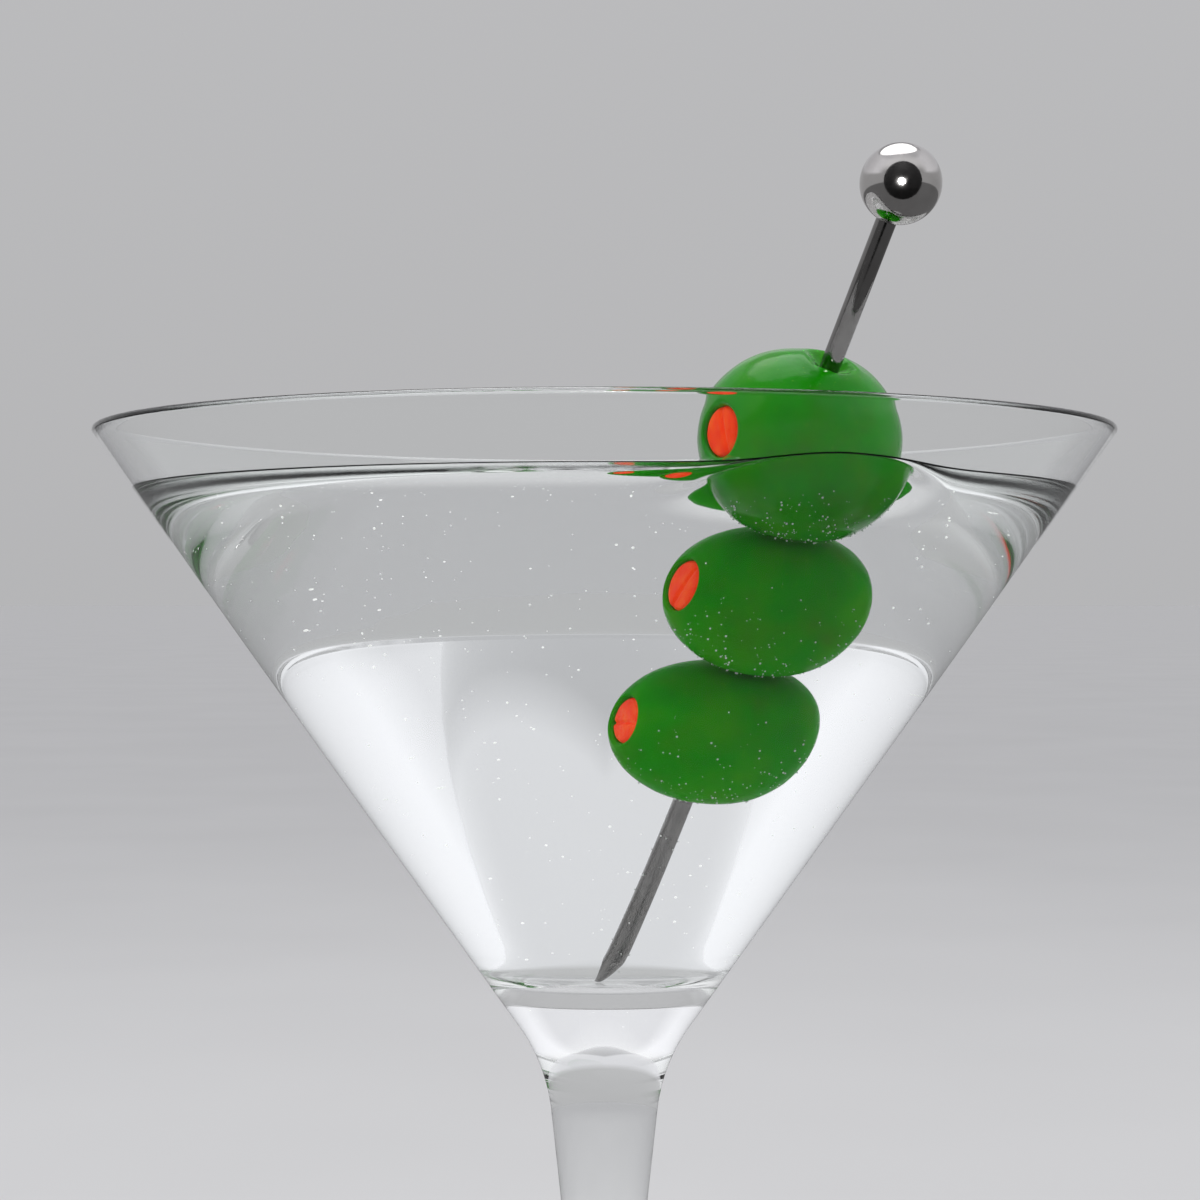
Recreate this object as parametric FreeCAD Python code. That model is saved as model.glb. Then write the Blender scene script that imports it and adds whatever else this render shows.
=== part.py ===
import FreeCAD, Part
import math
import os

# A stemmed cocktail glass, filled almost to its brim, with three stuffed olives on a steel pick.
# Millimetres. +Z is up, the origin is the centre of the foot's underside, and -Y is the side that
# the pick leans to, a little to the right (+X) of it.

# Glass, outside
glass_height = 172.0
rim_radius = 58.0             # at the widest point of the rounded rim
bowl_half_angle = 35.3        # of the outer cone, from the axis, in degrees
neck_radius = 21.0            # of the hollow curve that joins bowl and stem
stem_radius = 4.0             # of the slim lower part
stem_flare_length = 25.0      # of the part that widens, below where it would meet the bowl's cone
stem_flare_slope = 0.11       # gain of radius for each millimetre of height
stem_flare_blend = 200.0      # radius of the curve into that flare
foot_radius = 38.0
foot_edge = 1.9               # thickness of the foot at its edge
foot_edge_round = 0.8
foot_rise = 6.0               # height of the foot's sloping top, carried on to the axis
foot_blend = 15.0             # radius of the curve between foot and stem
foot_ring = 9.0               # width of the flat ring that the foot stands on
foot_hollow = 1.0             # rise of the underside inside that ring

# Glass, inside
rim_wall = 1.0                # across the wall, at the rim
base_wall = 1.7               # across the wall, level with the bowl's floor
floor_radius = 12.7           # where the straight inner wall would meet the floor
floor_round = 9.0             # radius of the curve between the floor and the wall

# Drink
fill_drop = 7.5               # rim down to the surface

# Pick
pick_radius = 1.0
pick_showing = 15.2           # clear length of rod between the top olive and the ball
point_length = 5.0
point_radius = 0.28           # of the blunt end of the point
ball_radius = 3.8
ball_seat = 2.0               # how deep the rod's end sits in the ball
pick_azimuth = -62.8          # the way that the pick leans, from +X, in degrees
point_offset = -0.5           # where the point stands on the floor, along X from the glass's axis
bore_clearance = 0.03         # all round the rod, in what it goes through
rest_gap = 0.15               # between pieces that only rest on each other

# Olives, from the bottom one up. "slide" moves an olive across the pick towards its stuffed end.
# "turn" swings that end about the pick from level, towards the side that the pick leans to, and
# "lift" raises it along the pick, both in degrees. "egg" makes it narrower than the far end, as a
# share of the width. "mouth" is the radius of its hole.
lowest_olive = 38.65          # point of the pick to the centre of the bottom olive
olives = [
    {"name": "bottom", "length": 21.4, "width": 17.5, "slide": -0.6, "turn": -4.0, "lift": 5.0,
     "egg": 0.05, "mouth": 2.75},
    {"name": "middle", "length": 21.7, "width": 17.0, "slide": -0.9, "turn": -0.5, "lift": 9.0,
     "egg": 0.03, "mouth": 2.85},
    {"name": "top", "length": 20.9, "width": 18.0, "slide": 0.6, "turn": 5.0, "lift": 7.0,
     "egg": 0.04, "mouth": 2.5},
]
olive_press = 0.3             # how far each olive is flattened by its neighbour
olive_fullness = 2.15         # 2 is an ellipse, more is squarer
dimple_radius = 2.1           # where the pick goes into the top olive
dimple_depth = 1.3

# Pimento: the stuffing fills the space that the stone left
pimento_belly = 3.2           # radius in the middle
pimento_tail = 1.1            # radius at the far end

axis_up = FreeCAD.Vector(0, 0, 1)
centre = FreeCAD.Vector(0, 0, 0)


def profile_point(radius, height):
    return FreeCAD.Vector(radius, 0, height)


def rounded_corner(before, corner, after, radius):
    """Tangent points and middle of the arc that rounds a corner of an outline."""
    back = (before - corner).normalize()
    ahead = (after - corner).normalize()
    half = back.getAngle(ahead) / 2
    reach = radius / math.tan(half)
    bisector = (back + ahead).normalize()
    middle = corner + bisector * (radius / math.sin(half) - radius)
    return corner + back * reach, middle, corner + ahead * reach


def rounded_edges(corners):
    """Edges of an open outline from (point, rounding radius) pairs."""
    edges = []
    last = corners[0][0]
    for index in range(1, len(corners) - 1):
        corner, radius = corners[index]
        if radius == 0:
            edges.append(Part.LineSegment(last, corner).toShape())
            last = corner
            continue
        start, middle, end = rounded_corner(corners[index - 1][0], corner, corners[index + 1][0], radius)
        edges.append(Part.LineSegment(last, start).toShape())
        edges.append(Part.Arc(start, middle, end).toShape())
        last = end
    edges.append(Part.LineSegment(last, corners[-1][0]).toShape())
    return edges


def turned_solid(edges):
    """Solid of revolution about Z of a closed outline."""
    return Part.Face(Part.Wire(edges)).revolve(centre, axis_up, 360)


def outer_slope():
    return math.tan(math.radians(bowl_half_angle))


def lip_radius():
    """Rounding of both edges of the rim, a little less than half the wall."""
    return rim_wall * 0.45


def outer_rim_radius():
    """Radius where the outer cone would meet the rim's level, outside the rounded edge."""
    half_edge = math.radians(90 - bowl_half_angle) / 2
    return rim_radius + lip_radius() / math.tan(half_edge) - lip_radius()


def inner_rim_radius():
    return outer_rim_radius() - rim_wall / math.cos(math.radians(bowl_half_angle))


def bowl_depth():
    """Rim down to the floor, which lies where the wall is as thick as base_wall."""
    outer_radius = floor_radius + base_wall / math.cos(math.radians(bowl_half_angle))
    return (outer_rim_radius() - outer_radius) / outer_slope()


def floor_height():
    return glass_height - bowl_depth()


def inner_slope():
    return (inner_rim_radius() - floor_radius) / bowl_depth()


def bowl_space(top, top_radius):
    """The space inside the bowl, from its floor to a level top."""
    corners = [
        (profile_point(0, top), 0),
        (profile_point(top_radius, top), 0),
        (profile_point(floor_radius, floor_height()), floor_round),
        (profile_point(0, floor_height()), 0),
    ]
    edges = rounded_edges(corners)
    edges.append(Part.LineSegment(corners[-1][0], corners[0][0]).toShape())
    return turned_solid(edges)


def stem_corner():
    """Where the flared stem and the outer cone would meet."""
    radius = stem_radius + stem_flare_slope * stem_flare_length
    return profile_point(radius, glass_height - (outer_rim_radius() - radius) / outer_slope())


def foot_corner():
    """Where the foot's sloping top and the stem would meet."""
    slope = (foot_rise - foot_edge) / foot_radius
    return profile_point(stem_radius, foot_rise - slope * stem_radius)


def make_glass():
    ring_inside = foot_radius - foot_ring
    hollow_middle = profile_point(ring_inside / 2, foot_hollow * 0.75)
    corners = [
        (profile_point(ring_inside, 0), 0),
        (profile_point(foot_radius, 0), foot_edge_round),
        (profile_point(foot_radius, foot_edge), foot_edge_round),
        (foot_corner(), foot_blend),
        (profile_point(stem_radius, stem_corner().z - stem_flare_length), stem_flare_blend),
        (stem_corner(), neck_radius),
        (profile_point(outer_rim_radius(), glass_height), lip_radius()),
        (profile_point(inner_rim_radius(), glass_height), lip_radius()),
        (profile_point(floor_radius, floor_height()), floor_round),
        (profile_point(0, floor_height()), 0),
    ]
    edges = rounded_edges(corners)
    underside = profile_point(0, foot_hollow)
    edges.append(Part.LineSegment(corners[-1][0], underside).toShape())
    edges.append(Part.Arc(underside, hollow_middle, corners[0][0]).toShape())
    return turned_solid(edges)


def surface_height():
    return glass_height - fill_drop


def surface_radius():
    return inner_rim_radius() - inner_slope() * fill_drop


def pick_direction(tilt):
    azimuth = math.radians(pick_azimuth)
    level = math.sin(tilt)
    return FreeCAD.Vector(math.cos(azimuth) * level, math.sin(azimuth) * level, math.cos(tilt))


def olive_axis(olive, tilt):
    """Direction of an olive's stuffed end, for a pick that leans by tilt."""
    azimuth = math.radians(pick_azimuth)
    turn = math.radians(olive["turn"])
    lift = math.radians(olive["lift"])
    sideways = FreeCAD.Vector(math.sin(azimuth), -math.cos(azimuth), 0)
    outwards = pick_direction(tilt + math.pi / 2)
    across = sideways * math.cos(turn) + outwards * math.sin(turn)
    return across * math.cos(lift) + pick_direction(tilt) * math.sin(lift)


def signed_power(value, power):
    return math.copysign(abs(value) ** power, value)


def olive_profile(olive, steps=16):
    """Points from the stuffed end to the far end, as (place along the axis, radius)."""
    points = []
    for step in range(steps + 1):
        angle = math.pi * step / steps
        along = signed_power(math.cos(angle), 2 / olive_fullness)
        radius = olive["width"] / 2 * math.sin(angle) ** (2 / olive_fullness)
        points.append((olive["length"] / 2 * along, radius * (1 - olive["egg"] * along)))
    points[-1] = (-olive["length"] / 2, 0)
    return points


def olive_reach(olive, axis, direction):
    """How far an olive extends from its centre in a direction."""
    cosine = axis.dot(direction)
    sine = math.sqrt(1 - cosine * cosine)
    return max(along * cosine + radius * sine for along, radius in olive_profile(olive, 90))


def olive_centre_offset(olive, tilt):
    """From the pick's axis to the olive's centre."""
    return olive_axis(olive, tilt) * olive["slide"]


def top_reach(olive, tilt):
    """From the place where the pick meets an olive's centre plane up to its top, along the pick."""
    along = pick_direction(tilt)
    axis = olive_axis(olive, tilt)
    return olive_reach(olive, axis, along) + olive_centre_offset(olive, tilt).dot(along)


def bottom_reach(olive, tilt):
    along = pick_direction(tilt)
    axis = olive_axis(olive, tilt)
    return olive_reach(olive, axis, -along) - olive_centre_offset(olive, tilt).dot(along)


def olive_places(tilt):
    """Distances of the olives along the pick. Each one is pressed a little onto the one below."""
    places = [lowest_olive]
    for below, above in zip(olives, olives[1:]):
        step = top_reach(below, tilt) + bottom_reach(above, tilt) - 2 * olive_press
        places.append(places[-1] + step + rest_gap)
    return places


def pick_start(tilt):
    """The pick's point, which stands on the bowl's floor."""
    round_centre = FreeCAD.Vector(point_offset, 0, floor_height() + rest_gap + point_radius)
    return round_centre - pick_direction(tilt) * point_radius


def olive_centre(olive, tilt, place):
    return pick_start(tilt) + pick_direction(tilt) * place + olive_centre_offset(olive, tilt)


def wall_clearance(tilt):
    """Smallest distance from an olive to the bowl's wall."""
    azimuth = math.radians(pick_azimuth)
    wall_angle = math.atan(inner_slope())
    level = math.cos(wall_angle)
    normal = FreeCAD.Vector(math.cos(azimuth) * level, math.sin(azimuth) * level, -math.sin(wall_angle))
    wall_foot = FreeCAD.Vector(math.cos(azimuth), math.sin(azimuth), 0) * floor_radius
    wall_foot.z = floor_height()
    clearances = []
    for olive, place in zip(olives, olive_places(tilt)):
        reach = olive_reach(olive, olive_axis(olive, tilt), normal)
        clearances.append((wall_foot - olive_centre(olive, tilt, place)).dot(normal) - reach)
    return min(clearances)


def resting_tilt():
    """The lean, in radians, at which an olive comes to rest on the bowl's wall."""
    upright = 0.0
    leaning = math.radians(80)
    while leaning - upright > 1e-9:
        tilt = (upright + leaning) / 2
        if wall_clearance(tilt) > rest_gap:
            upright = tilt
        else:
            leaning = tilt
    return upright


def olive_frame(olive, tilt, place):
    """Placement that lays the X axis along the olive, with Z square to the pick."""
    axis = olive_axis(olive, tilt)
    along = pick_direction(tilt)
    turned = FreeCAD.Rotation(axis, along, axis.cross(along), "XZY")
    return FreeCAD.Placement(olive_centre(olive, tilt, place), turned)


def olive_face(olive):
    """Half section of an olive, whose axis is X."""
    vectors = [FreeCAD.Vector(along, 0, radius) for along, radius in olive_profile(olive)]
    curve = Part.BSplineCurve()
    curve.interpolate(Points=vectors, InitialTangent=axis_up, FinalTangent=-axis_up)
    ends = Part.LineSegment(vectors[-1], vectors[0])
    return Part.Face(Part.Wire([curve.toShape(), ends.toShape()]))


def stone_face(olive):
    """Half section of the space of the stone, which runs out at both ends of the olive."""
    end = olive["length"] / 2
    outside = end * 1.2
    mouth = olive["mouth"]
    wall_points = [
        (outside, mouth),
        (end * 0.6, (mouth + pimento_belly) / 2),
        (0, pimento_belly),
        (-end * 0.6, (pimento_tail + pimento_belly) / 2),
        (-outside, pimento_tail),
    ]
    curve = Part.BSplineCurve()
    curve.interpolate([FreeCAD.Vector(along, 0, radius) for along, radius in wall_points])
    corners = [FreeCAD.Vector(along, 0, radius) for along, radius in (
        (-outside, pimento_tail), (-outside, 0), (outside, 0), (outside, mouth))]
    edges = [curve.toShape()]
    for first, second in zip(corners, corners[1:]):
        edges.append(Part.LineSegment(first, second).toShape())
    return Part.Face(Part.Wire(edges))


def turned_olive(face, olive, tilt, place):
    """Turns a half section about the olive's axis, in two halves, and lays it on the pick."""
    axis = FreeCAD.Vector(1, 0, 0)
    half = face.revolve(centre, axis, 180)
    other_half = half.copy()
    other_half.rotate(centre, axis, 180)
    solid = half.fuse(other_half).Solids[0]
    solid.Placement = olive_frame(olive, tilt, place)
    return solid


def pick_length(tilt, places):
    """The pick's point to the ball's centre."""
    return places[-1] + top_reach(olives[-1], tilt) + pick_showing + ball_radius


def make_rod(tilt, length):
    top = length - ball_radius + ball_seat
    shoulder = 0.15
    corners = [
        (profile_point(0, 0), 0),
        (profile_point(point_radius, 0), point_radius),
        (profile_point(pick_radius, point_length), point_length),
        (profile_point(pick_radius, top), shoulder),
        (profile_point(0, top), 0),
    ]
    edges = rounded_edges(corners)
    edges.append(Part.LineSegment(corners[-1][0], corners[0][0]).toShape())
    return on_pick(turned_solid(edges), tilt, 0)


def on_pick(shape, tilt, place):
    """Moves a shape made about Z onto the pick, at a distance from its point."""
    along = pick_direction(tilt)
    turned = FreeCAD.Rotation(axis_up, along)
    shape.Placement = FreeCAD.Placement(pick_start(tilt) + along * place, turned)
    return shape


def make_bore(tilt, length):
    """The hole that the rod's straight part needs in the olives and the ball."""
    top = length - ball_radius + ball_seat + bore_clearance
    bore = Part.makeCylinder(pick_radius + bore_clearance, top - point_length)
    return on_pick(bore, tilt, point_length)


def make_ball(tilt, length):
    return on_pick(Part.makeSphere(ball_radius), tilt, length).cut(make_bore(tilt, length))


def pressed_ranges(tilt, places):
    """Stretches of the pick that the olives take up, cut back where they press on each other."""
    ranges = []
    for index, (olive, place) in enumerate(zip(olives, places)):
        free_end = olive["width"]
        bottom = free_end if index == 0 else bottom_reach(olive, tilt) - olive_press
        top = free_end if olive is olives[-1] else top_reach(olive, tilt) - olive_press
        ranges.append((place - bottom, place + top))
    return ranges


def press_flat(shape, tilt, stretch):
    """Keeps what lies between two planes square to the pick."""
    slab = Part.makeCylinder(rim_radius, stretch[1] - stretch[0])
    return shape.common(on_pick(slab, tilt, stretch[0])).Solids[0]


def make_dimple(body, tilt, place):
    """A round bite where the pick enters the olive."""
    along = pick_direction(tilt)
    middle = pick_start(tilt) + along * place
    outside = middle + along * olives[-1]["length"]
    depth = Part.LineSegment(middle, outside).toShape().common(body).Length
    bite_radius = (dimple_radius ** 2 + dimple_depth ** 2) / (2 * dimple_depth)
    return on_pick(Part.makeSphere(bite_radius), tilt, place + depth - dimple_depth + bite_radius)


def make_drink(bodies, rod):
    drink = bowl_space(surface_height(), surface_radius())
    for body in bodies:
        drink = drink.cut(body)
    return drink.cut(rod)


def write_node(name, shape):
    shape.exportStep("parts/" + name + ".step")


def main():
    os.makedirs("parts", exist_ok=True)
    tilt = resting_tilt()
    places = olive_places(tilt)
    length = pick_length(tilt, places)
    rod = make_rod(tilt, length)
    bore = make_bore(tilt, length)
    ranges = pressed_ranges(tilt, places)
    bodies = []
    for olive, place, stretch in zip(olives, places, ranges):
        bodies.append(press_flat(turned_olive(olive_face(olive), olive, tilt, place), tilt, stretch))
    dimple = make_dimple(bodies[-1], tilt, places[-1])
    write_node("glass", make_glass())
    write_node("drink", make_drink(bodies, rod))
    write_node("pick_rod", rod)
    write_node("pick_ball", make_ball(tilt, length))
    for olive, place, stretch in zip(olives, places, ranges):
        whole = olive_face(olive)
        stone = stone_face(olive)
        flesh = turned_olive(whole.cut(stone).Faces[0], olive, tilt, place)
        flesh = press_flat(flesh, tilt, stretch).cut(bore)
        stuffing = turned_olive(whole.common(stone).Faces[0], olive, tilt, place).cut(bore)
        if olive is olives[-1]:
            flesh = flesh.cut(dimple)
        write_node("olive_" + olive["name"], flesh)
        write_node("pimento_" + olive["name"], stuffing)
    print("lean", round(math.degrees(tilt), 2), "degrees, pick", round(length, 2))


main()
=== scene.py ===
import math
import random

import bmesh
import bpy
import numpy as np
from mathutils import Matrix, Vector, noise


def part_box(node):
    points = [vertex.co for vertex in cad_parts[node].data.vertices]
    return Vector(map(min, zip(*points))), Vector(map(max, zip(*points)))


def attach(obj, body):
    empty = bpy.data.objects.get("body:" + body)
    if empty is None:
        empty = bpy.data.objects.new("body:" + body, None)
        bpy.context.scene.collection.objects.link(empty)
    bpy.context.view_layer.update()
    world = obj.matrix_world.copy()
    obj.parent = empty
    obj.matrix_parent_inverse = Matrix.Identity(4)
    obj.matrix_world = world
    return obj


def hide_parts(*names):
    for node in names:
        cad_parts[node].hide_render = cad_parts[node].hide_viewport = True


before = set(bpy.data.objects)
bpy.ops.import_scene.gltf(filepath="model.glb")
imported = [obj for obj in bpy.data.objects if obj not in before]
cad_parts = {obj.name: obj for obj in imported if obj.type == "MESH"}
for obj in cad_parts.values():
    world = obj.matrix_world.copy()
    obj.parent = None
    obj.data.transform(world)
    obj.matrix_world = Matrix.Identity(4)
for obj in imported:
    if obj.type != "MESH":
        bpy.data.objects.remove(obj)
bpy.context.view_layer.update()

# A stemmed cocktail glass with three stuffed olives on a steel pick.
# Sizes here are in millimetres, in the frame's axes, and become metres where a mesh is made.
MM = 0.001


def box_mm(node):
    low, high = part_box(node)
    return low / MM, high / MM


glass_low, glass_high = box_mm("glass")
drink_low, drink_high = box_mm("drink")
rod_low, rod_high = box_mm("pick_rod")
ball_low, ball_high = box_mm("pick_ball")

# Glass
glass_height = glass_high.z
rim_radius = glass_high.x
floor_height = drink_low.z
bowl_half_angle = math.radians(35.3)
neck_radius = 21.0            # of the hollow curve that joins bowl and stem
stem_radius = 4.0
stem_flare_length = 25.0
stem_flare_slope = 0.11
stem_flare_blend = 200.0
foot_radius = 38.0
foot_edge = 1.9
foot_edge_round = 0.8
foot_rise = 6.0
foot_blend = 15.0
foot_ring = 9.0
foot_hollow = 1.0
rim_wall = 1.0
floor_radius = 12.7           # where the straight inner wall would meet the floor
floor_round = 9.0

# Drink
drink_level = drink_high.z
wall_reach = 0.15             # how far the drink's skin goes into the glass, so that no air shows
capillary_length = 1.9        # of the curve that the surface makes where it meets a wall
wall_rise = 1.15              # of the surface at the glass
olive_rise = 2.2              # of the surface at the top olive

# Pick
ball_centre = (ball_low + ball_high) / 2
point_radius = 0.28
point_centre = Vector((-0.5, 0.0, rod_low.z + point_radius))
pick_way = (ball_centre - point_centre).normalized()
pick_start = point_centre - pick_way * point_radius
pick_azimuth = math.atan2(pick_way.y, pick_way.x)
pick_tilt = math.acos(pick_way.z)

# Olives, from the bottom one up, as in the CAD: "slide" is across the pick towards the stuffed end,
# "turn" swings that end about the pick and "lift" raises it, "egg" narrows it, "mouth" is its hole.
lowest_olive = 38.65
olives = [
    {"name": "bottom", "length": 21.4, "width": 17.5, "slide": -0.6, "turn": -4.0, "lift": 5.0,
     "egg": 0.05, "mouth": 2.75},
    {"name": "middle", "length": 21.7, "width": 17.0, "slide": -0.9, "turn": -0.5, "lift": 9.0,
     "egg": 0.03, "mouth": 2.85},
    {"name": "top", "length": 20.9, "width": 18.0, "slide": 0.6, "turn": 5.0, "lift": 7.0,
     "egg": 0.04, "mouth": 2.5},
]
olive_press = 0.3             # how far each olive is flattened by its neighbour
rest_gap = 0.15
olive_fullness = 2.15         # 2 is an ellipse, more is squarer
mouth_lip = 0.4               # rounding of the edge of the hole that shows the stuffing
mouth_depth = 2.2
tail_radius = 1.1             # of the hole at the far end
tail_lip = 0.3
tail_depth = 1.4
pimento_belly = 3.2
pimento_edge = 0.55           # rounding of the stuffing's face
pimento_gap = 0.06            # between the stuffing and its hole
pimento_sink = 0.12           # of the middle of the stuffing's face, in its hole
pimento_crown = 0.1           # of that face

# Bubbles
beads_an_olive = 240
beads_on_pick = 26
specks = 420
rod_radius = 1.0


# ---------------------------------------------------------------- meshes

def add_piece(name, vertices, faces, material, sharp=35.0):
    """A smooth-shaded mesh from points in millimetres, riding on the one body."""
    mesh = bpy.data.meshes.new(name)
    points = np.asarray(vertices, dtype=float) * MM
    mesh.from_pydata(points.tolist(), [], faces)
    bm = bmesh.new()
    bm.from_mesh(mesh)
    bmesh.ops.remove_doubles(bm, verts=bm.verts, dist=1e-7)
    bmesh.ops.recalc_face_normals(bm, faces=bm.faces)
    bm.to_mesh(mesh)
    bm.free()
    mesh.polygons.foreach_set("use_smooth", [True] * len(mesh.polygons))
    mesh.set_sharp_from_angle(angle=math.radians(sharp))
    mesh.materials.append(material)
    piece = bpy.data.objects.new(name, mesh)
    bpy.context.scene.collection.objects.link(piece)
    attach(piece, "root")
    return piece


def grid_faces(rows, columns):
    """Quads between rows of points, each row closed on itself."""
    faces = []
    for row in range(rows - 1):
        for column in range(columns):
            after = (column + 1) % columns
            faces.append((row * columns + column, row * columns + after,
                          (row + 1) * columns + after, (row + 1) * columns + column))
    return faces


def add_grid(name, points, material, sharp):
    """A piece from an array of rows of points, each row closed on itself."""
    faces = grid_faces(len(points), points.shape[1])
    return add_piece(name, points.reshape(-1, 3), faces, material, sharp)


def lathe(outline, segments):
    """Points and faces of an outline of (radius, height) turned about Z."""
    angles = np.arange(segments) * 2 * math.pi / segments
    outline = np.array(outline)
    x = outline[:, 0, None] * np.cos(angles)
    y = outline[:, 0, None] * np.sin(angles)
    z = np.repeat(outline[:, 1, None], segments, axis=1)
    points = np.stack([x, y, z], axis=-1).reshape(-1, 3)
    return points, grid_faces(len(outline), segments)


def arc_points(before, corner, after, radius, steps):
    """Points of the arc that rounds a corner of an outline."""
    back = (before - corner).normalized()
    ahead = (after - corner).normalized()
    half = back.angle(ahead) / 2
    middle = corner + (back + ahead).normalized() * (radius / math.sin(half))
    start = corner + back * (radius / math.tan(half)) - middle
    end = corner + ahead * (radius / math.tan(half)) - middle
    sweep = math.pi - 2 * half
    points = []
    for step in range(steps + 1):
        share = step / steps
        weight_start = math.sin((1 - share) * sweep) / math.sin(sweep)
        weight_end = math.sin(share * sweep) / math.sin(sweep)
        points.append(middle + start * weight_start + end * weight_end)
    return points


def rounded_outline(corners, arc_steps=14, run_steps=14):
    """(radius, height) points of an outline given as (radius, height, rounding) corners."""
    flat = [Vector(corner[:2]) for corner in corners]
    stops = [[flat[0]]]
    for index in range(1, len(corners) - 1):
        rounding = corners[index][2]
        if rounding == 0:
            stops.append([flat[index]])
        else:
            stops.append(arc_points(flat[index - 1], flat[index], flat[index + 1], rounding, arc_steps))
    stops.append([flat[-1]])
    points = list(stops[0])
    for previous, current in zip(stops, stops[1:]):
        for step in range(1, run_steps):
            share = 0.5 - 0.5 * math.cos(math.pi * step / run_steps)
            points.append(previous[-1].lerp(current[0], share))
        points.extend(current)
    return [tuple(point) for point in points]


# ---------------------------------------------------------------- glass

lip_radius = rim_wall * 0.45
outer_slope = math.tan(bowl_half_angle)
outer_rim = rim_radius + lip_radius / math.tan((math.pi / 2 - bowl_half_angle) / 2) - lip_radius
inner_rim = outer_rim - rim_wall / math.cos(bowl_half_angle)
inner_slope = (inner_rim - floor_radius) / (glass_height - floor_height)
inner_angle = math.atan(inner_slope)


def inner_radius(height):
    """Radius of the bowl's straight inner wall at a height."""
    return inner_rim - inner_slope * (glass_height - height)


def make_glass(material):
    stem_top = stem_radius + stem_flare_slope * stem_flare_length
    corner_height = glass_height - (outer_rim - stem_top) / outer_slope
    foot_corner = foot_rise - (foot_rise - foot_edge) / foot_radius * stem_radius
    ring_inside = foot_radius - foot_ring
    corners = [
        (0.0, foot_hollow, 0),
        (ring_inside * 0.5, foot_hollow * 0.75, 60.0),
        (ring_inside, 0.0, 0),
        (foot_radius, 0.0, foot_edge_round),
        (foot_radius, foot_edge, foot_edge_round),
        (stem_radius, foot_corner, foot_blend),
        (stem_radius, corner_height - stem_flare_length, stem_flare_blend),
        (stem_top, corner_height, neck_radius),
        (outer_rim, glass_height, lip_radius),
        (inner_rim, glass_height, lip_radius),
        (floor_radius, floor_height, floor_round),
        (0.0, floor_height, 0),
    ]
    points, faces = lathe(rounded_outline(corners), 288)
    glass = add_piece("martini_glass", points, faces, material)
    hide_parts("glass")


# ---------------------------------------------------------------- olives

def olive_axis(olive):
    """Direction of an olive's stuffed end."""
    turn = math.radians(olive["turn"])
    lift = math.radians(olive["lift"])
    sideways = Vector((math.sin(pick_azimuth), -math.cos(pick_azimuth), 0))
    outwards = Vector((math.cos(pick_azimuth) * math.cos(pick_tilt),
                       math.sin(pick_azimuth) * math.cos(pick_tilt), -math.sin(pick_tilt)))
    across = sideways * math.cos(turn) + outwards * math.sin(turn)
    return across * math.cos(lift) + pick_way * math.sin(lift)


def skin_point(olive, angle):
    """(place along the axis, radius) of an olive's skin, from its stuffed end at angle 0."""
    cosine = math.cos(angle)
    along = math.copysign(abs(cosine) ** (2 / olive_fullness), cosine)
    radius = olive["width"] / 2 * math.sin(angle) ** (2 / olive_fullness)
    return olive["length"] / 2 * along, radius * (1 - olive["egg"] * along)


def angle_at_radius(olive, radius, near, far):
    """Angle at which the skin has a radius, between an end and the middle of the olive."""
    for _ in range(50):
        middle = (near + far) / 2
        if skin_point(olive, middle)[1] < radius:
            near = middle
        else:
            far = middle
    return near


def hole_edge(place, radius, lip, way, depth):
    """Outline of a hole's wall and rounded lip, from inside out to the skin."""
    points = []
    for step in range(8):
        points.append((place - way * (lip + depth * (1 - step / 8)), radius))
    for step in range(9):
        angle = math.pi / 2 * step / 8
        points.append((place - way * lip * (1 - math.sin(angle)), radius + lip * (1 - math.cos(angle))))
    return points


def mouth_angle(olive):
    return angle_at_radius(olive, olive["mouth"] + mouth_lip, 0.0, math.pi / 2)


def tail_angle(olive):
    return angle_at_radius(olive, tail_radius + tail_lip, math.pi, math.pi / 2)


def olive_outline(olive, steps=110):
    """(place along the axis, radius) points from inside the mouth, over the skin, into the tail.

    Both holes have a bottom, inside the stuffing, so that the skin is a closed mesh.
    """
    start = mouth_angle(olive)
    end = tail_angle(olive)
    points = hole_edge(skin_point(olive, start)[0], olive["mouth"], mouth_lip, 1, mouth_depth)
    for step in range(1, steps):
        points.append(skin_point(olive, start + (end - start) * step / steps))
    tail = hole_edge(skin_point(olive, end)[0], tail_radius, tail_lip, -1, tail_depth)
    points += tail[::-1]
    return [(points[0][0], 0.0)] + points + [(points[-1][0], 0.0)]


def olive_axes(olive):
    """The way of an olive's stuffed end, the way up the pick square to it, and the third axis."""
    axis = olive_axis(olive)
    across = (pick_way - axis * pick_way.dot(axis)).normalized()
    return axis, across, axis.cross(across)


def turned_points(outline, axes, segments):
    """An outline of (place, radius) turned about the first axis, as an array of rows of points."""
    axis, across, other = [np.array(way) for way in axes]
    angles = np.arange(segments) * 2 * math.pi / segments
    outline = np.array(outline)
    around = np.cos(angles)[:, None] * across + np.sin(angles)[:, None] * other
    return outline[:, 0, None, None] * axis + outline[:, 1, None, None] * around[None]


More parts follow.
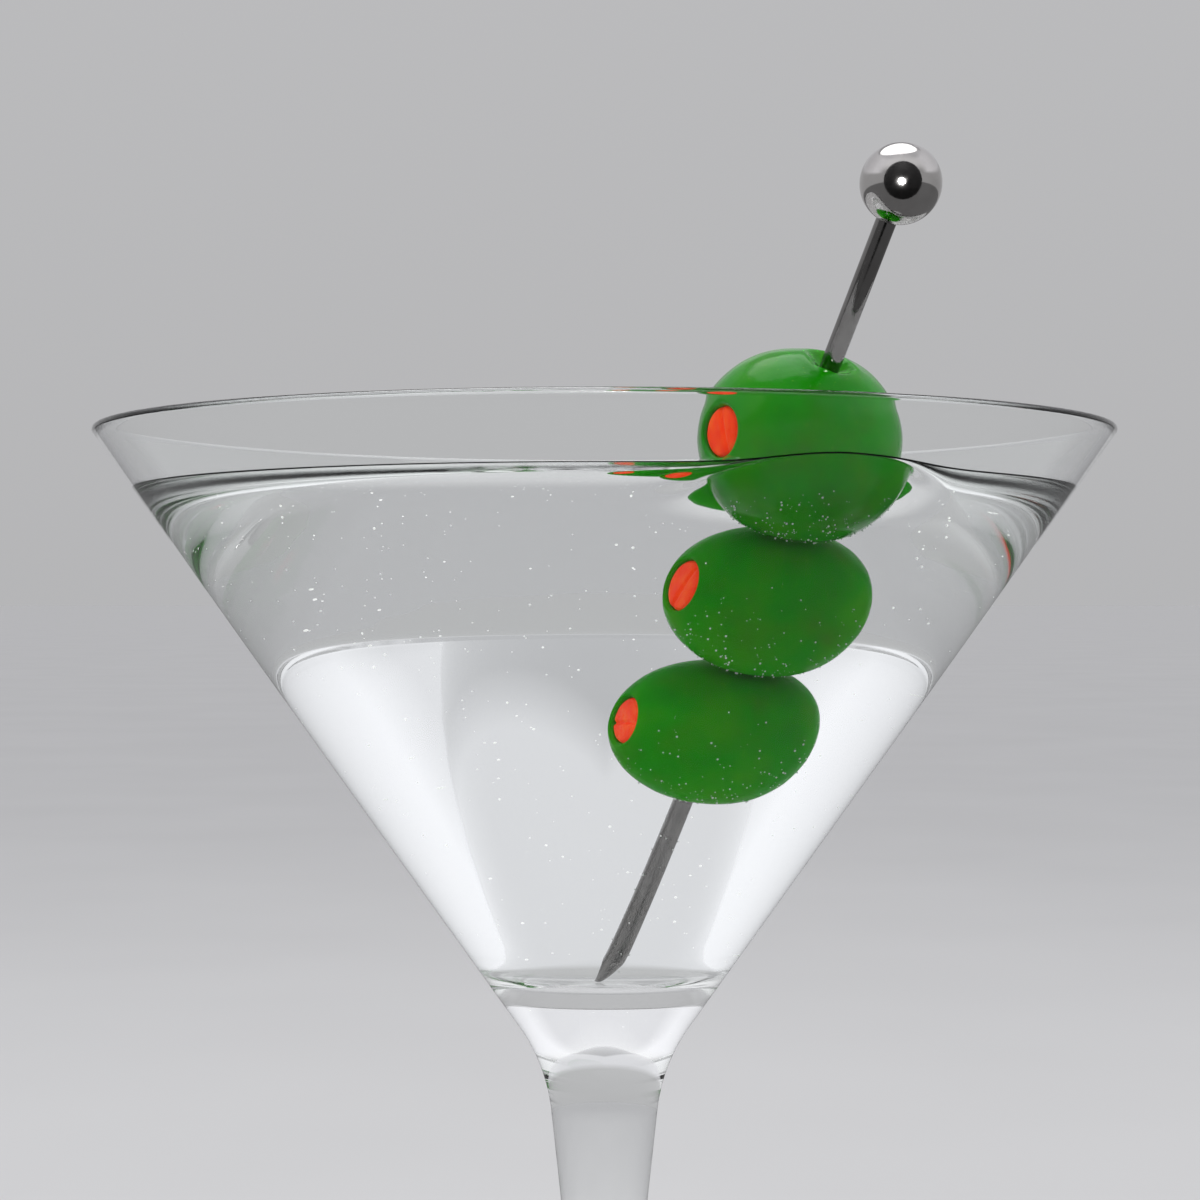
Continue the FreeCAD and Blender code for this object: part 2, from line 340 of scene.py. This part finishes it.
def olive_places():
    """Distances of the olives along the pick, and the stretch of it that each one is pressed into.

    Each olive is pressed a little onto the one below. The third value is how far each one reaches down
    and up the pick from its own place, before it is pressed.
    """
    way = np.array(pick_way)
    reaches = []
    for olive in olives:
        axes = olive_axes(olive)
        skin = [skin_point(olive, math.pi * step / 180) for step in range(181)]
        points = turned_points(skin, axes, 180) + np.array(axes[0]) * olive["slide"]
        heights = points @ way
        reaches.append((-heights.min(), heights.max()))
    places = [lowest_olive]
    for below, above in zip(reaches, reaches[1:]):
        places.append(places[-1] + below[1] + above[0] - 2 * olive_press + rest_gap)
    stretches = []
    for index, (reach, place) in enumerate(zip(reaches, places)):
        free = olives[index]["width"]
        bottom = free if index == 0 else reach[0] - olive_press
        top = free if index == len(olives) - 1 else reach[1] - olive_press
        stretches.append((place - bottom, place + top))
    return places, stretches, reaches


def soft_limit(values, limit):
    """Values eased to stay under a limit, with a slight roundness at the edge."""
    width = 0.06
    return limit - width * np.logaddexp(0, (limit - values) / width)


def pressed(points, stretch):
    """Points flattened where the neighbours press, square to the pick."""
    way = np.array(pick_way)
    heights = (points - np.array(pick_start)) @ way
    limited = soft_limit(heights, stretch[1])
    limited = -soft_limit(-limited, -stretch[0])
    return points + (limited - heights)[..., None] * way


def uneven(points, centre_point, seed, depth, size):
    """Points moved in towards a centre by smooth noise, never out."""
    flat = points.reshape(-1, 3)
    inward = np.array(centre_point) - flat
    inward /= np.linalg.norm(inward, axis=1)[:, None]
    offset = Vector((seed * 17.3, seed * 5.1, 0))
    amounts = np.array([noise.noise(Vector(point) / size + offset) for point in flat])
    return (flat + inward * (depth * (0.5 + 0.5 * amounts))[:, None]).reshape(points.shape)


def pitted(points, place, side, radius, depth, folds):
    """A dimple with soft folds where the pick passes through the skin."""
    way = np.array(pick_way)
    _, across, other = [np.array(axis) for axis in olive_axes(olives[-1])]
    offsets = points - np.array(pick_start)
    heights = offsets @ way
    sideways = offsets - heights[..., None] * way
    distance = np.linalg.norm(sideways, axis=-1)
    turn = np.arctan2(sideways @ other, sideways @ across)
    fold = 1 + 0.16 * np.sin(folds * turn + 0.7) + 0.08 * np.sin((2 * folds - 1) * turn)
    dimple = np.clip(1 - (distance / (radius * fold)) ** 2, 0, 1) ** 1.6
    swelling = 0.1 * np.exp(-((distance - radius * 1.15) / (radius * 0.3)) ** 2)
    on_side = (heights - place) * side > 0
    amount = np.where(on_side, depth * (dimple - swelling), 0.0)
    return points - (side * amount)[..., None] * way


def make_olive(index, place, stretch, material):
    """An olive's skin, uneven in broad and in fine lumps. Gives its grid of points and its centre."""
    olive = olives[index]
    segments = 176
    axes = olive_axes(olive)
    centre_point = pick_start + pick_way * place + axes[0] * olive["slide"]
    points = turned_points(olive_outline(olive), axes, segments) + np.array(centre_point)
    points = uneven(points, centre_point, index + 1.0, 0.22, 7.0)
    points = uneven(points, centre_point, index + 5.0, 0.05, 1.6)
    points = pressed(points, stretch)
    if index == len(olives) - 1:
        points = pitted(points, place, 1, 2.5, 1.35, 5)
    if index == 0:
        points = pitted(points, place, -1, 1.9, 0.35, 4)
    skin = add_grid("olive_skin_" + olive["name"], points, material, 60.0)
    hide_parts("olive_" + olive["name"])
    return points, centre_point


def pimento_outline(olive, face_steps=26, edge_steps=12, body_steps=30):
    """(place along the axis, radius) points of the stuffing, from its face to the tail."""
    mouth_place = skin_point(olive, mouth_angle(olive))[0]
    tail_place = skin_point(olive, tail_angle(olive))[0]
    face_place = mouth_place - pimento_sink - pimento_crown
    side = olive["mouth"] - pimento_gap
    tail_side = tail_radius - pimento_gap
    outline = []
    for step in range(face_steps):
        share = step / face_steps
        outline.append((mouth_place - pimento_sink - pimento_crown * share ** 2,
                        (side - pimento_edge) * share))
    for step in range(edge_steps + 1):
        angle = math.pi / 2 * step / edge_steps
        outline.append((face_place - pimento_edge * (1 - math.cos(angle)),
                        side - pimento_edge * (1 - math.sin(angle))))
    body_start = face_place - pimento_edge
    for step in range(1, body_steps):
        share = step / body_steps
        belly = (pimento_belly - side) * math.sin(math.pi * share)
        plain = side + (tail_side - side) * share
        outline.append((body_start + (tail_place + 0.5 - body_start) * share, plain + belly))
    outline.append((tail_place + 0.4, tail_side))
    outline.append((tail_place + 0.3, tail_radius - 0.3))
    outline.append((tail_place + 0.25, 0.0))
    return outline


def creased(points, face_middle, axes, angle):
    """Points of the stuffing with a crease and small waves pressed into its face."""
    axis, across, other = [np.array(way) for way in axes]
    offsets = points - face_middle
    near_face = np.exp(-((offsets @ axis + 0.2) / 0.9) ** 2)
    from_crease = offsets @ (across * math.cos(angle) + other * math.sin(angle)) + 0.35
    wave = np.array([noise.noise(Vector(point) / 1.1) for point in points.reshape(-1, 3)])
    wave = wave.reshape(from_crease.shape)
    depth = 0.28 * np.exp(-(from_crease / 0.22) ** 2) + 0.09 * (0.5 + 0.5 * wave)
    return points - (depth * near_face)[..., None] * axis


def make_pimento(index, centre_point, material):
    """The stuffing, from its slightly sunk and folded face in the mouth to the tail."""
    olive = olives[index]
    axes = olive_axes(olive)
    points = turned_points(pimento_outline(olive), axes, 96) + np.array(centre_point)
    mouth_place = skin_point(olive, mouth_angle(olive))[0]
    face_middle = np.array(centre_point + axes[0] * mouth_place)
    points = creased(points, face_middle, axes, 0.5 + index)
    stuffing = add_grid("pimento_strip_" + olive["name"], points, material, 60.0)
    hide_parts("pimento_" + olive["name"])


# ---------------------------------------------------------------- drink

def waterline(points, height):
    """Points where a closed grid of points crosses a height, as (x, y), sorted round their middle."""
    crossings = []
    for moved in (np.roll(points, -1, axis=1), np.roll(points, -1, axis=0)):
        above = points[..., 2] > height
        crossed = above != (moved[..., 2] > height)
        start = points[crossed]
        end = moved[crossed]
        share = (height - start[:, 2]) / (end[:, 2] - start[:, 2])
        crossings.append(start[:, :2] + share[:, None] * (end - start)[:, :2])
    line = np.concatenate(crossings)
    middle = line.mean(axis=0)
    near = np.linalg.norm(line - middle, axis=1) > 3.0
    line = line[near]
    angles = np.arctan2(line[:, 1] - middle[1], line[:, 0] - middle[0])
    return line[np.argsort(angles)], middle


def distance_outside(x, y, line, middle):
    """How far points lie outside a line round a middle. Inside it is 0."""
    flat = np.stack([x.ravel(), y.ravel()], axis=1)
    nearest = np.full(len(flat), np.inf)
    for start in range(0, len(flat), 4000):
        part = flat[start:start + 4000]
        gaps = np.linalg.norm(part[:, None] - line[None], axis=2)
        nearest[start:start + 4000] = gaps.min(axis=1)
    angles = np.arctan2(line[:, 1] - middle[1], line[:, 0] - middle[0])
    radii = np.linalg.norm(line - middle, axis=1)
    own_angle = np.arctan2(flat[:, 1] - middle[1], flat[:, 0] - middle[0])
    own_radius = np.linalg.norm(flat - middle, axis=1)
    edge = np.interp(own_angle, angles, radii, period=2 * math.pi)
    nearest[own_radius < edge] = 0.0
    return nearest.reshape(x.shape)


def crowded_angles(segments):
    """Angles round the bowl, closer together on the side of the olives."""
    share = np.arange(segments) * 2 * math.pi / segments
    return pick_azimuth + share - 0.55 * np.sin(share)


def level_ring(radius, angles, height):
    """A row of points round the bowl's axis, one at each angle."""
    height = np.broadcast_to(height, angles.shape)
    return np.stack([radius * np.cos(angles), radius * np.sin(angles), height], axis=1)


def drink_surface(line, middle, angles, rings=150):
    """Rows of points of the surface, from the middle to where it meets the glass."""

    def olive_lift(radius):
        distance = distance_outside(radius * np.cos(angles), radius * np.sin(angles), line, middle)
        return olive_rise * np.exp(-distance / capillary_length)

    contact = np.full(len(angles), inner_radius(drink_level + wall_rise))
    for _ in range(40):
        risen = drink_level + wall_rise + olive_lift(contact)
        contact = contact + 0.4 * (inner_radius(risen) - contact)
    rows = []
    for ring in range(rings + 1):
        radius = contact * math.sin(math.pi / 2 * ring / rings) ** 1.15
        glass_lift = wall_rise * np.exp(-(contact - radius) / capillary_length)
        rows.append(level_ring(radius, angles, drink_level + olive_lift(radius) + glass_lift))
    return rows


def drink_wall(contact_height, angles, steps=12):
    """Rows of points that reach just into the glass, from where the surface meets it to the floor."""
    reach = wall_reach / math.cos(inner_angle)
    start = contact_height + 0.1
    under = drink_level - 2.0
    rows = []
    for step in range(steps + 1):
        height = start + (under - start) * (step / steps)
        rows.append(level_ring(inner_radius(height) + reach, angles, height))
    floor = floor_height - wall_reach
    corners = [
        (inner_radius(under) + reach, under, 0),
        (floor_radius + reach - wall_reach * inner_slope, floor, floor_round + wall_reach),
        (0.0, floor, 0),
    ]
    for radius, height in rounded_outline(corners, 24, 40)[1:]:
        rows.append(level_ring(radius, angles, height))
    return rows


def make_drink(top_olive_points, material):
    """The drink, with the curve of its surface up the glass and up the top olive."""
    line, middle = waterline(top_olive_points, drink_level + olive_rise)
    angles = crowded_angles(420)
    rows = drink_surface(line, middle, angles)
    rows += drink_wall(rows[-1][:, 2], angles)
    drink = add_grid("drink_body", np.array(rows), material, 50.0)
    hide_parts("drink")


# ---------------------------------------------------------------- bubbles

def add_beads(name, places, material):
    """Many small beads, given as (centre, radius), joined in one piece."""
    template = bmesh.new()
    bmesh.ops.create_icosphere(template, subdivisions=2, radius=1.0)
    template.verts.ensure_lookup_table()
    corners = np.array([vertex.co for vertex in template.verts])
    loops = [tuple(vertex.index for vertex in face.verts) for face in template.faces]
    template.free()
    points = []
    faces = []
    for middle, radius in places:
        start = len(points) * len(corners)
        points.append(np.array(middle) + corners * radius)
        faces.extend(tuple(start + index for index in loop) for loop in loops)
    return add_piece(name, np.concatenate(points), faces, material, 180.0)


def touches(middle, radius, places):
    """Whether a bead would touch one of those already placed."""
    return any(np.linalg.norm(middle - other) < radius + size for other, size in places)


def outward_normals(points):
    """The way out of a closed grid of points, at each point."""
    normals = np.cross(np.roll(points, -1, axis=1) - points, np.roll(points, -1, axis=0) - points)
    lengths = np.linalg.norm(normals, axis=2)
    middle = points.mean(axis=(0, 1))
    outward = np.sign(((points - middle) * normals).sum(axis=2))
    return normals * (outward / np.maximum(lengths, 1e-9))[..., None]


def skin_bubbles(grids, count, rng):
    """Fine bubbles that cling in patches to the undersides of the olives."""
    hole_rows = 24
    places = []
    for points in grids:
        normals = outward_normals(points)
        made = 0
        while made < count:
            row = rng.randrange(hole_rows, len(points) - hole_rows)
            column = rng.randrange(points.shape[1])
            place = points[row, column]
            normal = normals[row, column]
            if place[2] > drink_level - 1.0 or normal[2] > 0.1:
                continue
            patch = noise.noise(Vector(place) / 3.0)
            if rng.random() > (0.15 - normal[2]) * (0.55 + patch):
                continue
            radius = 0.035 + 0.09 * rng.random() ** 2.5
            bubble = place + normal * radius * 0.7
            if touches(bubble, radius, places):
                continue
            places.append((bubble, radius))
            made += 1
    return places


def rod_bubbles(count, lowest, highest, rng):
    """Fine bubbles on the part of the rod that shows under the olives."""
    side = pick_way.orthogonal().normalized()
    other = pick_way.cross(side)
    places = []
    for _ in range(count):
        distance = rng.uniform(lowest, highest)
        angle = rng.uniform(0, 2 * math.pi)
        radius = 0.05 + 0.1 * rng.random() ** 2
        out = side * math.cos(angle) + other * math.sin(angle)
        places.append((pick_start + pick_way * distance + out * (rod_radius + radius * 0.7), radius))
    return places


def drifting_specks(count, rng):
    """Specks all through the drink, most of them in its upper half."""
    places = []
    while len(places) < count:
        height = drink_level - (drink_level - floor_height) * rng.random() ** 1.4 - 0.6
        limit = inner_radius(height) - 1.0
        if height < floor_height + 4.0:
            continue
        radius = limit * math.sqrt(rng.random())
        angle = rng.uniform(0, 2 * math.pi)
        size = 0.05 + 0.1 * rng.random() ** 3
        places.append((Vector((radius * math.cos(angle), radius * math.sin(angle), height)), size))
    return places


# ---------------------------------------------------------------- materials

def new_material(name):
    material = bpy.data.materials.new(name)
    material.use_nodes = True
    tree = material.node_tree
    return material, tree, tree.nodes["Principled BSDF"]


def noise_node(tree, scale, detail=3.0, roughness=0.5):
    """Noise in the object's own coordinates. Scale is how many lumps there are in a metre."""
    coordinates = tree.nodes.new("ShaderNodeTexCoord")
    node = tree.nodes.new("ShaderNodeTexNoise")
    node.inputs["Scale"].default_value = scale
    node.inputs["Detail"].default_value = detail
    node.inputs["Roughness"].default_value = roughness
    tree.links.new(coordinates.outputs["Object"], node.inputs["Vector"])
    return node.outputs["Fac"]


def ramp_node(tree, source, stops):
    """Colours along a value, from (place, colour) stops."""
    node = tree.nodes.new("ShaderNodeValToRGB")
    elements = node.color_ramp.elements
    for element, (place, colour) in ((elements[0], stops[0]), (elements[-1], stops[-1])):
        element.position = place
        element.color = (*colour, 1.0)
    for place, colour in stops[1:-1]:
        elements.new(place).color = (*colour, 1.0)
    tree.links.new(source, node.inputs["Fac"])
    return node.outputs["Color"]


def range_node(tree, source, low, high, source_low=0.3, source_high=0.7):
    """A value carried over in a straight line from one range to another, and held at its ends."""
    node = tree.nodes.new("ShaderNodeMapRange")
    node.inputs["From Min"].default_value = source_low
    node.inputs["From Max"].default_value = source_high
    node.inputs["To Min"].default_value = low
    node.inputs["To Max"].default_value = high
    tree.links.new(source, node.inputs["Value"])
    return node.outputs["Result"]


def mix_node(tree, first, second, amount=None, blend="MIX"):
    """Two colours mixed by an amount from 0 to 1, or in full."""
    node = tree.nodes.new("ShaderNodeMix")
    node.data_type = "RGBA"
    node.blend_type = blend
    node.inputs["Factor"].default_value = 1.0
    if amount is not None:
        tree.links.new(amount, node.inputs["Factor"])
    tree.links.new(first, node.inputs["A"])
    tree.links.new(second, node.inputs["B"])
    return node.outputs["Result"]


def set_colour(tree, shader, colour):
    tree.links.new(colour, shader.inputs["Base Color"])


def set_roughness(tree, shader, scale, low, high, detail=3.0):
    """Roughness that varies between two levels in spots of a scale."""
    tree.links.new(range_node(tree, noise_node(tree, scale, detail), low, high), shader.inputs["Roughness"])


def set_inputs(shader, **values):
    """Numbers and colours that are the same all over, by socket name with _ for a space."""
    for name, value in values.items():
        shader.inputs[name.replace("_", " ")].default_value = value


def grey(level):
    return (level, level, level, 1.0)


def add_bump(tree, shader, height, distance, strength=1.0):
    """Relief of a height map. Distance is its depth in metres."""
    node = tree.nodes.new("ShaderNodeBump")
    node.inputs["Strength"].default_value = strength
    node.inputs["Distance"].default_value = distance
    tree.links.new(height, node.inputs["Height"])
    tree.links.new(node.outputs["Normal"], shader.inputs["Normal"])


def glass_material():
    material, tree, shader = new_material("clear_glass")
    set_inputs(shader, Base_Color=(0.985, 0.995, 0.99, 1.0), Transmission_Weight=1.0, IOR=1.52,
               Specular_Tint=grey(0.18))
    set_roughness(tree, shader, 90.0, 0.0, 0.006)
    add_bump(tree, shader, noise_node(tree, 60.0, 1.0), 0.00001)
    return material


def drink_material():
    material, tree, shader = new_material("clear_drink")
    set_inputs(shader, Base_Color=grey(1.0), Transmission_Weight=1.0, IOR=1.357, Specular_Tint=grey(0.08))
    set_roughness(tree, shader, 120.0, 0.0, 0.004)
    add_bump(tree, shader, noise_node(tree, 90.0, 1.0), 0.000006)
    return material


def bubble_material():
    material, tree, shader = new_material("bubble")
    set_inputs(shader, Base_Color=(0.97, 0.99, 0.98, 1.0), Transmission_Weight=0.35, IOR=1.9)
    set_roughness(tree, shader, 3000.0, 0.0, 0.08)
    return material


def speck_material():
    """Motes that glow with painted light, standing for the light they catch."""
    material, tree, shader = new_material("speck")
    set_colour(tree, shader, ramp_node(tree, noise_node(tree, 3000.0), [
        (0.3, (0.85, 0.86, 0.84)), (0.7, (0.97, 0.98, 0.96))]))
    # The emission is a painted glow: the specks are no lamps.
    set_inputs(shader, Emission_Color=grey(1.0), Emission_Strength=0.5)
    set_roughness(tree, shader, 2000.0, 0.2, 0.5)
    return material


def olive_material(name, ior, gloss, smooth, rough):
    """Moist green skin with paler flecks and browner patches."""
    material, tree, shader = new_material(name)
    broad = noise_node(tree, 110.0, 3.0)
    skin = ramp_node(tree, broad, [
        (0.3, (0.005, 0.215, 0.001)), (0.5, (0.009, 0.27, 0.001)), (0.72, (0.04, 0.3, 0.002))])
    patches = ramp_node(tree, noise_node(tree, 260.0, 4.0), [
        (0.3, (0.05, 0.16, 0.002)), (0.7, (0.025, 0.26, 0.002))])
    amount = range_node(tree, noise_node(tree, 170.0, 2.0), 0.0, 0.55, 0.45, 0.75)
    skin = mix_node(tree, skin, patches, amount)
    pale = ramp_node(tree, broad, [(0.0, (0.1, 0.36, 0.01)), (1.0, (0.14, 0.42, 0.015))])
    flecks = range_node(tree, noise_node(tree, 2400.0, 2.0), 0.0, 0.35, 0.66, 0.74)
    set_colour(tree, shader, mix_node(tree, skin, pale, flecks))
    set_roughness(tree, shader, 500.0, smooth, rough)
    set_inputs(shader, IOR=ior, Specular_IOR_Level=gloss, Subsurface_Weight=0.12,
               Subsurface_Radius=(0.4, 1.0, 0.15), Subsurface_Scale=0.0015)
    add_bump(tree, shader, noise_node(tree, 900.0, 4.0, 0.6), 0.00006, 0.6)
    return material


def pimento_material():
    """Red flesh. Its faint glow stands for the light that comes through it."""
    material, tree, shader = new_material("pimento")
    set_colour(tree, shader, ramp_node(tree, noise_node(tree, 700.0, 3.0), [
        (0.3, (0.8, 0.03, 0.002)), (0.5, (0.92, 0.055, 0.003)), (0.7, (0.95, 0.12, 0.012))]))
    set_roughness(tree, shader, 1500.0, 0.25, 0.42)
    set_inputs(shader, IOR=1.2, Emission_Color=(1.0, 0.04, 0.0, 1.0), Emission_Strength=0.18,
               Subsurface_Weight=0.2, Subsurface_Radius=(1.0, 0.25, 0.1), Subsurface_Scale=0.001)
    add_bump(tree, shader, noise_node(tree, 1800.0, 4.0, 0.6), 0.0001, 0.7)
    return material


def steel_material(name, level):
    """Polished steel with very fine rubbing marks."""
    material, tree, shader = new_material(name)
    set_colour(tree, shader, ramp_node(tree, noise_node(tree, 400.0, 3.0), [
        (0.3, (level * 0.9, level * 0.87, level * 0.85)), (0.7, (level * 1.1, level * 1.07, level * 1.05))]))
    set_inputs(shader, Metallic=1.0)
    set_roughness(tree, shader, 900.0, 0.05, 0.13, 4.0)
    add_bump(tree, shader, noise_node(tree, 2500.0, 2.0), 0.000004, 0.5)
    return material


def floor_material():
    material, tree, shader = new_material("floor")
    set_colour(tree, shader, ramp_node(tree, noise_node(tree, 6.0, 2.0), [
        (0.2, (0.59, 0.59, 0.59)), (0.8, (0.62, 0.62, 0.62))]))
    set_inputs(shader, Roughness=0.7, IOR=1.2)
    return material


def flag_material():
    material, tree, shader = new_material("flag")
    set_colour(tree, shader, ramp_node(tree, noise_node(tree, 5.0), [
        (0.0, (0.01, 0.01, 0.01)), (1.0, (0.02, 0.02, 0.02))]))
    return material


# ---------------------------------------------------------------- stage

def grey_stops(*stops):
    """Stops of a grey ramp from (place, brightness) pairs."""
    return [(place, (level, level, level * 1.02)) for place, level in stops]


def sine(elevation):
    """Height on the sky's unit sphere of an elevation in degrees."""
    return math.sin(math.radians(elevation))


def sky_directions(tree):
    """The sky's height and depth, and its height lessened towards the sides."""
    side_slope = -0.52
    coordinates = tree.nodes.new("ShaderNodeTexCoord")
    parts = tree.nodes.new("ShaderNodeSeparateXYZ")
    tree.links.new(coordinates.outputs["Generated"], parts.inputs["Vector"])
    spread = tree.nodes.new("ShaderNodeMath")
    spread.operation = "ABSOLUTE"
    tree.links.new(parts.outputs["X"], spread.inputs[0])
    narrowed = tree.nodes.new("ShaderNodeMath")
    narrowed.operation = "MULTIPLY_ADD"
    narrowed.inputs[1].default_value = side_slope
    tree.links.new(spread.outputs[0], narrowed.inputs[0])
    tree.links.new(parts.outputs["Z"], narrowed.inputs[2])
    return parts.outputs["Z"], parts.outputs["Y"], narrowed.outputs[0]


def make_world():
    """A pale room, white overhead, and behind the glass a white strip with a grey one above it.

    Below the horizon it is dark, which only polished surfaces see, because the floor is in front of it.
    """
    horizon = 0.465
    under = 0.18
    world = bpy.data.worlds.new("studio")
    bpy.context.scene.world = world
    world.use_nodes = True
    tree = world.node_tree
    height, depth, narrowed = sky_directions(tree)
    back_strip = ramp_node(tree, narrowed, grey_stops((0.0, 1.0), (0.505, 1.0), (0.55, 0.62), (1.0, 0.62)))
    side_strip = ramp_node(tree, height, grey_stops((0.0, 1.0), (0.8, 1.0), (0.88, 0.78), (1.0, 0.78)))
    strip = mix_node(tree, side_strip, back_strip, range_node(tree, depth, 0.0, 1.0, 0.3, 0.45))
    fade = ramp_node(tree, range_node(tree, depth, 0.0, 1.0, 0.0, 0.8), grey_stops((0.0, 1.0), (1.0, 0.7)))
    strip = mix_node(tree, strip, fade, blend="MULTIPLY")
    wall = ramp_node(tree, height, grey_stops((0.0, horizon), (sine(18), 0.5)))
    behind = mix_node(tree, wall, strip, range_node(tree, height, 0.0, 1.0, sine(18), sine(23)))
    before = ramp_node(tree, height, grey_stops(
        (0.0, horizon), (sine(25), 0.5), (sine(40), 0.95), (1.0, 1.0)))
    sky = mix_node(tree, before, behind, range_node(tree, depth, 0.0, 1.0, -0.5, -0.2))
    dark = ramp_node(tree, height, grey_stops((0.0, under), (1.0, under)))
    sky = mix_node(tree, dark, sky, range_node(tree, height, 0.0, 1.0, -0.06, -0.04))
    tree.links.new(sky, tree.nodes["Background"].inputs["Color"])


def add_area(name, place, aim, size, power):
    """A round lamp that shows neither to the camera nor through glass. Place, aim and size are in metres."""
    lamp = bpy.data.lights.new(name, "AREA")
    lamp.shape = "DISK"
    lamp.size = size
    lamp.energy = power
    holder = bpy.data.objects.new(name, lamp)
    holder.location = place
    holder.rotation_euler = (Vector(aim) - Vector(place)).to_track_quat("-Z", "Y").to_euler()
    holder.visible_camera = False
    holder.visible_transmission = False
    bpy.context.scene.collection.objects.link(holder)
    return holder


def add_stage_disc(name, radii, segments, material):
    """A flat disc with rings at some radii in millimetres, which isn't part of the object."""
    points, faces = lathe([(radius, 0.0) for radius in radii], segments)
    mesh = bpy.data.meshes.new(name)
    mesh.from_pydata((points * MM).tolist(), [], faces)
    mesh.materials.append(material)
    disc = bpy.data.objects.new(name, mesh)
    bpy.context.scene.collection.objects.link(disc)
    return disc


def make_stage():
    """A wide floor, a dark round card behind the camera, a lamp overhead and a small one in front."""
    floor = add_stage_disc("floor", (0.0, 500.0, 5000.0, 60000.0), 96, floor_material())
    floor.location.z = -0.0005
    floor.visible_glossy = False
    flag = add_stage_disc("flag", (0.0, 200.0, 400.0, 560.0), 64, flag_material())
    flag.location = (0.0, -0.46, 0.17)
    flag.rotation_euler = (math.pi / 2, 0, 0)
    flag.visible_camera = False
    flag.visible_diffuse = False
    flag.visible_transmission = False
    flag.visible_shadow = False
    make_world()
    add_area("overhead", (0.0, 0.15, 0.9), (0.0, 0.0, 0.1), 0.75, 3.0)
    glint = add_area("glint", (0.0, -0.4, 0.165), (0.0, 0.0, 0.165), 0.09, 1.6)
    glint.visible_diffuse = False


def make_camera():
    """A little below the level of the drink, and close enough to look up at the rim."""
    camera = bpy.data.cameras.new("camera")
    camera.sensor_width = 36.0
    camera.lens = 67.53
    camera.clip_start = 0.01
    holder = bpy.data.objects.new("camera", camera)
    holder.location = (-0.0005, -0.261, (glass_height - 19.3) * MM)
    holder.rotation_euler = (math.pi / 2, 0, 0)
    bpy.context.scene.collection.objects.link(holder)
    bpy.context.scene.camera = holder


def set_light_paths():
    """Enough bounces for light to find its way in and out of the filled glass."""
    cycles = bpy.context.scene.cycles
    cycles.max_bounces = 32
    cycles.glossy_bounces = 16
    cycles.transmission_bounces = 32
    cycles.blur_glossy = 0.0


def make_garnish():
    """The stuffed olives. Gives their grids of points, and where on the pick the lowest one starts."""
    sunk = olive_material("olive_in_drink", 1.12, 0.15, 0.16, 0.3)
    dry = olive_material("olive_moist", 1.42, 0.2, 0.08, 0.2)
    pimento = pimento_material()
    places, stretches, reaches = olive_places()
    grids = []
    for index, (place, stretch) in enumerate(zip(places, stretches)):
        material = dry if index == len(olives) - 1 else sunk
        grid, centre_point = make_olive(index, place, stretch, material)
        make_pimento(index, centre_point, pimento)
        grids.append(grid)
    return grids, places[0] - reaches[0][0]


def finish_pick():
    """Steel for the rod, set darker as painted shade for the dark reflections it shows, and a brighter one
    for the ball.
    """
    # The rod's lower level, 0.24, is painted shade, not a duller finish of the steel.
    for name, material, level in (("pick_rod", "steel_painted_darker", 0.24), ("pick_ball", "bright_steel", 0.48)):
        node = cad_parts[name]
        node.data.materials.clear()
        node.data.materials.append(steel_material(material, level))


def make_bubbles(grids, lowest_skin):
    rng = random.Random(7)
    bubble = bubble_material()
    on_olives = skin_bubbles(grids, beads_an_olive, rng)
    on_pick = rod_bubbles(beads_on_pick, 3.0, lowest_skin, rng)
    add_beads("bubbles_on_olives", on_olives, bubble)
    add_beads("bubbles_on_pick", on_pick, bubble)
    add_beads("specks_in_drink", drifting_specks(specks, rng), speck_material())


def main():
    bpy.context.scene.view_settings.view_transform = "Standard"
    set_light_paths()
    make_glass(glass_material())
    grids, lowest_skin = make_garnish()
    make_drink(grids[-1], drink_material())
    finish_pick()
    make_bubbles(grids, lowest_skin)
    make_stage()
    make_camera()


main()
